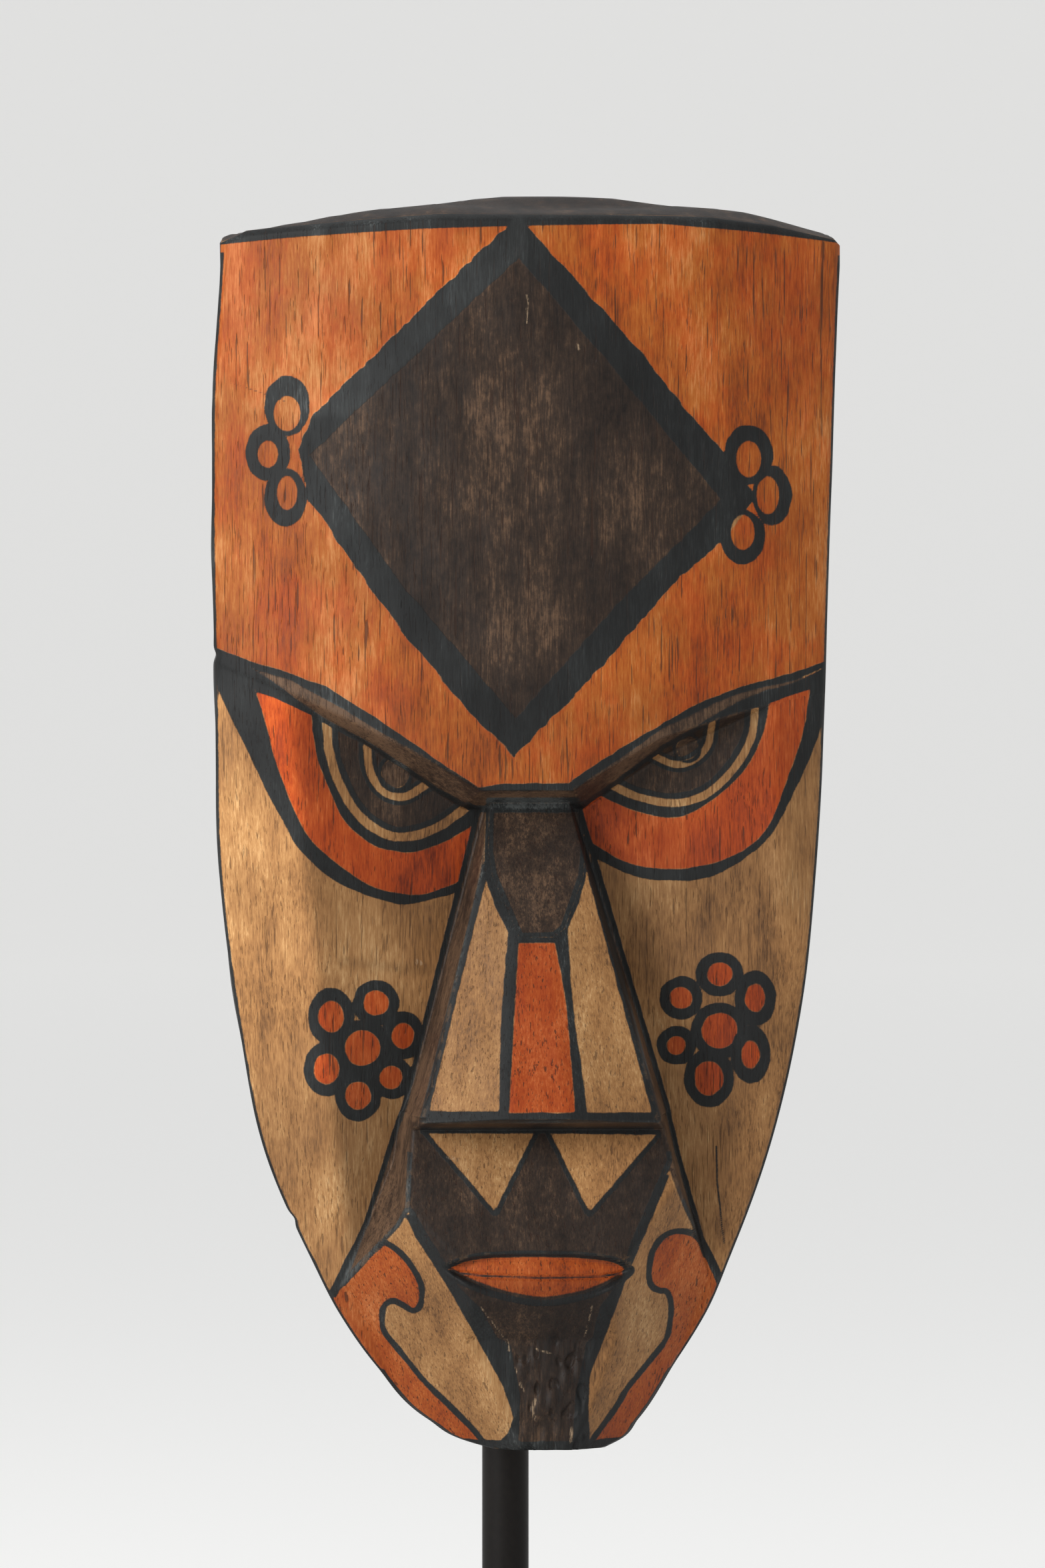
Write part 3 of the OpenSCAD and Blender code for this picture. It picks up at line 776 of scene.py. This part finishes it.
def make_mask():
    mesh, own, tag, edge = carve_mask()
    x, v, d = own.T
    count = len(x)
    face = (ROWS + 1) * (COLUMNS + 1)
    orange, dark, black = (np.full(count, 3 * COAT_LIMIT) for _ in range(3))
    chip = np.full(count, COAT_LIMIT)
    tone, ridge, bare, rust = (np.zeros(count) for _ in range(4))
    shade = np.ones(count)
    gx, gv, gd = (a[:face] for a in (x, v, d))
    *coats, f = paint(gx, gv, gd, edge.ravel())
    orange[:face], dark[:face], black[:face] = (limited(coat) for coat in coats)
    chip[:face] = limited(f["chip"])
    tone[:face], shade[:face], rust[:face] = tones(gx, gv, f)
    ridge[:face] = raised(gd, COLUMNS, 3, 1)
    side = tag == SIDE
    black[side] = limited(2.5 - d[side] + 0.4 * ripple(v[side], 0 * d[side], 34))
    dark[(tag == TOP) | (tag == UNDER)] = -COAT_LIMIT
    # black laps over the front edge of the top
    top = tag == TOP
    black[top] = limited(relief(x[top], v[top]) - d[top] - 2.5)
    tone[top] = -0.08 + 0.1 * ripple(x[top], d[top] * 2, 7) + 0.06 * ripple(x[top] * 2, d[top], 5)
    back = slice(face, face + (ROWS + 1) * (COLUMNS // 2 + 1))
    ridge[back] = raised(d[back], COLUMNS // 2, 5, -1)
    bare[tag == BACK] = 1
    for name, values in (("orange", orange), ("dark", dark), ("black", black), ("tone", tone),
                         ("ridge", ridge), ("bare", bare), ("shade", shade),
                         ("rust", rust), ("chip", chip)):
        put_attribute(mesh, name, values)
    piece = bpy.data.objects.new("mask_carving", mesh)
    bpy.context.scene.collection.objects.link(piece)
    return piece


# ---------------------------------------------------------------- materials
class Shader:
    """A node material and short calls for the nodes that it is made of."""

    def __init__(self, name):
        self.material = bpy.data.materials.new(name)
        self.material.use_nodes = True
        self.tree = self.material.node_tree
        self.bsdf = self.tree.nodes["Principled BSDF"]
        self.place = self.tree.nodes.new("ShaderNodeTexCoord").outputs["Object"]

    def _feed(self, socket, value):
        if isinstance(value, bpy.types.NodeSocket):
            self.tree.links.new(value, socket)
        elif value is not None:
            socket.default_value = value

    def math(self, operation, a, b=None, c=None):
        node = self.tree.nodes.new("ShaderNodeMath")
        node.operation = operation
        for socket, value in zip(node.inputs, (a, b, c)):
            self._feed(socket, value)
        return node.outputs[0]

    def plus(self, a, b):
        return self.math("ADD", a, b)

    def times(self, a, b):
        return self.math("MULTIPLY", a, b)

    def scaled(self, value, factor, shift):
        return self.math("MULTIPLY_ADD", value, factor, shift)

    def attribute(self, name):
        node = self.tree.nodes.new("ShaderNodeAttribute")
        node.attribute_name = name
        return node.outputs["Fac"]

    def stretched(self, sx, sy, sz, offset=0.0):
        node = self.tree.nodes.new("ShaderNodeMapping")
        self._feed(node.inputs["Vector"], self.place)
        node.inputs["Scale"].default_value = (sx, sy, sz)
        node.inputs["Location"].default_value = (offset, offset * 0.7, offset * 1.3)
        return node.outputs[0]

    def noise(self, scale, detail=2.0, rough=0.5, offset=0.0):
        """Noise whose grain is 1/scale metres; scale may be three numbers."""
        sx, sy, sz = scale if isinstance(scale, tuple) else (scale,) * 3
        node = self.tree.nodes.new("ShaderNodeTexNoise")
        self._feed(node.inputs["Vector"], self.stretched(sx, sy, sz, offset))
        for name, number in (("Scale", 1.0), ("Detail", detail), ("Roughness", rough)):
            node.inputs[name].default_value = number
        return node.outputs["Fac"]

    def step(self, value, low, high, to_low=0.0, to_high=1.0):
        node = self.tree.nodes.new("ShaderNodeMapRange")
        node.interpolation_type = "SMOOTHSTEP"
        self._feed(node.inputs["Value"], value)
        limits = {"From Min": low, "From Max": high, "To Min": to_low, "To Max": to_high}
        for name, limit in limits.items():
            node.inputs[name].default_value = limit
        return node.outputs["Result"]

    def mix(self, factor, a, b, blend="MIX"):
        node = self.tree.nodes.new("ShaderNodeMix")
        node.data_type = "RGBA"
        node.blend_type = blend
        self._feed(node.inputs["Factor"], factor)
        for socket, value in ((node.inputs[6], a), (node.inputs[7], b)):
            if isinstance(value, tuple) and len(value) == 3:
                value = (*value, 1.0)
            self._feed(socket, value)
        return node.outputs[2]

    def ramp(self, value, stops):
        node = self.tree.nodes.new("ShaderNodeValToRGB")
        self._feed(node.inputs[0], value)
        elements = node.color_ramp.elements
        while len(elements) < len(stops):
            elements.new(0.5)
        for element, (at, colour) in zip(elements, stops):
            element.position = at
            element.color = (*colour, 1.0)
        return node.outputs[0]

    def finish(self, colour, roughness, height, bump_mm=0.3, strength=1.0):
        self._feed(self.bsdf.inputs["Base Color"], colour)
        self._feed(self.bsdf.inputs["Roughness"], roughness)
        if height is not None:
            bump = self.tree.nodes.new("ShaderNodeBump")
            bump.inputs["Distance"].default_value = bump_mm * MM
            bump.inputs["Strength"].default_value = strength
            self._feed(bump.inputs["Height"], height)
            self.tree.links.new(bump.outputs[0], self.bsdf.inputs["Normal"])
        return self.material


def srgb(r, g, b):
    """Linear colour from the 0 to 255 numbers of a paint chip."""
    def one(c):
        c /= 255
        return c / 12.92 if c <= 0.04045 else ((c + 0.055) / 1.055) ** 2.4
    return one(r), one(g), one(b)


def wood_grain(s):
    """The grain that all the mask's faces share: fine fibres, broad streaks and open pores."""
    fibres = s.noise((1900, 1900, 150), 4, 0.7)
    streaks = s.noise((260, 260, 10), 4, 0.65, offset=3.1)
    long_pores = s.step(s.noise((1300, 1300, 40), 2, 0.55, offset=9.7), 0.635, 0.68)
    fine_pores = s.step(s.noise((2300, 2300, 130), 1, 0.5, offset=5.3), 0.67, 0.73)
    cracks = s.step(s.noise((620, 620, 13), 3, 0.5, offset=12.4), 0.70, 0.725)
    pores = s.math("MAXIMUM", s.math("MAXIMUM", long_pores, s.times(fine_pores, 0.75)), cracks)
    return fibres, streaks, pores


def painted_wood():
    s = Shader("painted_carved_wood")
    fibres, streaks, pores = wood_grain(s)
    blotch = s.noise((48, 48, 20), 4, 0.6, offset=1.7)
    tone = s.attribute("tone")
    soil = s.noise((26, 26, 17), 5, 0.7, offset=15)
    level = s.plus(s.scaled(fibres, 1.1, -0.55), s.scaled(streaks, 0.4, -0.2))
    level = s.plus(level, s.scaled(blotch, 0.7, -0.35))
    level = s.plus(level, s.scaled(soil, 0.8, -0.4))
    level = s.plus(s.plus(level, tone), 0.5)

    tan = s.ramp(level, [
        (0.05, srgb(70, 46, 27)), (0.42, srgb(134, 94, 55)), (0.62, srgb(153, 112, 69)),
        (0.95, srgb(194, 156, 109))])
    orange = s.ramp(level, [
        (0.05, srgb(78, 31, 8)), (0.42, srgb(138, 67, 16)), (0.62, srgb(153, 85, 30)),
        (0.95, srgb(186, 128, 76))])
    patches = s.step(s.noise((30, 30, 17), 5, 0.75, offset=21), 0.42, 0.62, 0.0, 0.6)
    rust = s.math("MAXIMUM", s.attribute("rust"), patches)
    orange = s.mix(rust, orange, (1.2, 0.72, 0.6), "MULTIPLY")
    speckle = s.noise((420, 420, 230), 5, 0.75, offset=33)
    dark_level = s.plus(level, s.scaled(speckle, 1.0, -0.52))
    dark = s.ramp(dark_level, [
        (0.05, srgb(18, 12, 9)), (0.42, srgb(40, 29, 22)), (0.62, srgb(54, 40, 30)),
        (0.95, srgb(98, 74, 55))])
    black = s.ramp(level, [
        (0.05, srgb(14, 14, 14)), (0.5, srgb(27, 28, 28)), (0.75, srgb(38, 40, 40)),
        (0.98, srgb(78, 81, 80))])

    wobble = s.scaled(s.noise(900, 3, 0.6, offset=2.2), 0.44, -0.22)
    rag = s.scaled(s.noise((1600, 1600, 120), 2, 0.6, offset=4.4), 0.4, -0.2)

    def coat(name, width, extra=None):
        value = s.plus(s.attribute(name), wobble)
        if extra is not None:
            value = s.plus(value, extra)
        return s.step(value, width, -width)

    colour = s.mix(coat("orange", 0.35), tan, orange)
    colour = s.mix(coat("dark", 0.35, rag), colour, dark)
    black_mask = coat("black", 0.22)
    colour = s.mix(black_mask, colour, black)
    painted = s.math("MAXIMUM", coat("orange", 0.35), coat("dark", 0.35))
    pore_strength = s.scaled(painted, 0.22, s.scaled(black_mask, -0.3, 0.5))
    pore_strength = s.times(pores, pore_strength)
    colour = s.mix(pore_strength, colour, srgb(44, 26, 16))
    # ridges are rubbed down to the wood, and points that lie below the wood around them are darker
    rubbed = s.step(s.noise(260, 4, 0.7, offset=8), 0.5, 0.62)
    rub = s.times(s.step(s.attribute("ridge"), 0.5, 1.3), rubbed)
    colour = s.mix(s.times(rub, 0.12), colour, srgb(168, 126, 84))
    sunken_darkening = s.step(s.attribute("ridge"), -0.5, -1.8)
    colour = s.mix(s.times(sunken_darkening, 0.45), colour, srgb(28, 20, 15))
    chip = s.step(s.scaled(wobble, 2.5, s.attribute("chip")), 0.3, -0.3)
    chip = s.times(chip, s.step(fibres, 0.44, 0.58))
    colour = s.mix(s.times(chip, 0.8), colour, srgb(176, 150, 120))
    # brightness from place to place, which carries the painted light, shade and sheen from tones()
    colour = s.mix(1.0, colour, s.attribute("shade"), "MULTIPLY")
    # bare wood of the back
    bare = s.ramp(level, [
        (0.05, srgb(84, 60, 40)), (0.45, srgb(150, 114, 78)), (0.95, srgb(198, 162, 120))])
    bare = s.mix(s.times(pores, 0.6), bare, srgb(58, 38, 24))
    # the gouged hollows of the back are darker
    scallop_darkening = s.step(s.attribute("ridge"), 0.0, -0.6)
    bare = s.mix(s.times(scallop_darkening, 0.22), bare, srgb(84, 58, 38))
    colour = s.mix(s.attribute("bare"), colour, bare)

    rough = s.scaled(fibres, 0.25, 0.42)
    rough = s.plus(rough, s.times(black_mask, 0.04))
    height = s.scaled(fibres, 0.25, s.times(pores, -1.0))
    height = s.plus(height, s.times(black_mask, 0.3))
    height = s.plus(height, s.times(streaks, 0.5))
    s.bsdf.inputs["Specular IOR Level"].default_value = 0.22
    return s.finish(colour, rough, height, 0.22, 0.8)


def painted_steel():
    s = Shader("satin_black_steel")
    mottle = s.noise(420, 4, 0.6)
    fine = s.noise(3200, 2, 0.5, offset=2)
    wear = s.step(s.noise(70, 5, 0.7, offset=6), 0.62, 0.75)
    colour = s.mix(mottle, srgb(18, 16, 15), srgb(32, 29, 27))
    colour = s.mix(s.times(wear, 0.3), colour, srgb(56, 50, 44))
    rough = s.scaled(mottle, 0.2, 0.42)
    s.bsdf.inputs["Specular IOR Level"].default_value = 0.12
    return s.finish(colour, rough, fine, 0.05, 0.5)


def turned_metal(name, low, high, rough=0.3):
    s = Shader(name)
    brushed = s.noise((200, 200, 3500), 3, 0.6)
    stain = s.noise(160, 4, 0.65, offset=4)
    colour = s.mix(s.scaled(stain, 0.7, s.times(brushed, 0.3)), low, high)
    s.bsdf.inputs["Metallic"].default_value = 1.0
    return s.finish(colour, s.scaled(stain, 0.3, rough - 0.1), brushed, 0.03, 0.5)


def plain_wood(name, low, high, along):
    """Planed wood with its grain along x or z."""
    s = Shader(name)
    fine, long = 1300, 26
    scale = {"x": (long, fine, fine), "z": (fine, fine, long)}[along]
    broad = {"x": (5, 130, 130), "z": (130, 130, 5)}[along]
    fibres = s.noise(scale, 3, 0.6)
    streaks = s.noise(broad, 3, 0.6, offset=2)
    pores = s.step(s.noise(tuple(q * 0.8 for q in scale), 2, 0.5, offset=7), 0.66, 0.72)
    level = s.scaled(fibres, 0.45, s.times(streaks, 0.6))
    colour = s.mix(s.step(level, 0.3, 0.75), low, high)
    colour = s.mix(s.times(pores, 0.7), colour, tuple(q * 0.3 for q in low))
    height = s.math("SUBTRACT", s.times(fibres, 0.3), pores)
    return s.finish(colour, s.scaled(fibres, 0.2, 0.45), height, 0.15, 0.7)


def felt():
    s = Shader("pressed_felt")
    fuzz = s.noise(2600, 5, 0.75)
    colour = s.mix(fuzz, srgb(26, 28, 26), srgb(58, 62, 58))
    s.bsdf.inputs["Sheen Weight"].default_value = 0.5
    return s.finish(colour, 0.95, fuzz, 0.4, 1.0)


# ---------------------------------------------------------------- pieces
def dress(node, material):
    """Gives a CAD node that stays in view its material."""
    data = frame["nodes"][node].data
    data.materials.clear()
    data.materials.append(material)


mask = make_mask()
mask.data.materials.append(painted_wood())
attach(mask, "head")
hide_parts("mask")

steel = painted_steel()
for node in ("post", "post_boss", "base_plate", "stop_collar"):
    dress(node, steel)
brass = turned_metal("dull_brass", srgb(120, 88, 40), srgb(196, 158, 88), 0.34)
for node in ("collar_screw", "thrust_washer", "rail_screws"):
    dress(node, brass)
zinc = turned_metal("zinc_plate", srgb(120, 122, 124), srgb(190, 192, 196), 0.3)
for node in ("post_bolt", "bolt_washer", "socket_nuts"):
    dress(node, zinc)
dress("socket_bolts", turned_metal("blackened_steel", srgb(38, 38, 40), srgb(78, 78, 82), 0.4))
dress("cross_rail", plain_wood("raw_rail_wood", srgb(128, 92, 56), srgb(196, 158, 112), "x"))
dress("socket_block", plain_wood("stained_block_wood", srgb(58, 36, 22), srgb(112, 74, 46), "z"))
dress("base_felt", felt())


# ---------------------------------------------------------------- stage, light and camera
def backdrop():
    """A round pale floor, wider than any view of the object, that curves up at its far rim."""
    floor_r, bend, rise = 9.0, 4.0, 3.0
    profile = [(r, 0.0) for r in (0.001, 1.0, 3.0, floor_r)]
    profile += [(floor_r + bend * math.sin(a), bend - bend * math.cos(a))
                for a in np.linspace(0, math.pi / 2, 20)[1:]]
    profile.append((floor_r + bend, bend + rise))
    turns = 96
    verts = [(r * math.cos(2 * math.pi * k / turns), r * math.sin(2 * math.pi * k / turns), z)
             for r, z in profile for k in range(turns)]
    faces = [(i * turns + k, i * turns + (k + 1) % turns, (i + 1) * turns + (k + 1) % turns,
              (i + 1) * turns + k) for i in range(len(profile) - 1) for k in range(turns)]
    mesh = bpy.data.meshes.new("backdrop")
    mesh.from_pydata(verts, [], faces)
    mesh.shade_smooth()
    obj = bpy.data.objects.new("backdrop", mesh)
    bpy.context.scene.collection.objects.link(obj)
    material = bpy.data.materials.new("pale_paper")
    material.use_nodes = True
    surface = material.node_tree.nodes["Principled BSDF"].inputs
    surface["Base Color"].default_value = (0.56, 0.56, 0.55, 1)
    surface["Roughness"].default_value = 0.95
    surface["Emission Color"].default_value = (1, 0.99, 0.98, 1)
    surface["Emission Strength"].default_value = 0.38
    mesh.materials.append(material)


def lamp(name, place, aim, size, power):
    light = bpy.data.lights.new(name, "AREA")
    light.size, light.energy = size, power
    obj = bpy.data.objects.new(name, light)
    bpy.context.scene.collection.objects.link(obj)
    obj.location = place
    obj.rotation_euler = (Vector(aim) - Vector(place)).to_track_quat("-Z", "Y").to_euler()


def camera():
    """The picture's viewing angle: level, a little to the left, through a long lens."""
    azimuth, elevation, distance = math.radians(-4), math.radians(0.6), 3.0
    frame_height = 0.526  # what the picture takes in at the mask's distance
    aim = Vector(world(np.array(-1.3), np.array(222.3), np.array(FLAT_D)))
    level = math.cos(elevation)
    back = Vector((math.sin(azimuth) * level, -math.cos(azimuth) * level, math.sin(elevation)))
    data = bpy.data.cameras.new("camera")
    data.sensor_fit = "VERTICAL"
    data.sensor_height = 36
    data.lens = data.sensor_height * distance / frame_height
    data.clip_end = 50
    obj = bpy.data.objects.new("camera", data)
    bpy.context.scene.collection.objects.link(obj)
    obj.location = aim + back * distance
    obj.rotation_euler = (-back).to_track_quat("-Z", "Y").to_euler()
    bpy.context.scene.camera = obj


backdrop()
lamp("key", (-1.9, -1.7, 1.1), (0, 0, 0.33), 1.0, 50)
lamp("top", (-0.3, 0.2, 2.2), (0, 0, 0.3), 1.2, 9)
sky = bpy.data.worlds.new("studio")
bpy.context.scene.world = sky
bpy.context.scene.view_settings.view_transform = "Standard"
sky.use_nodes = True
glow = sky.node_tree.nodes["Background"].inputs
glow["Color"].default_value = (0.96, 0.98, 1.0, 1)
glow["Strength"].default_value = 0.55
camera()
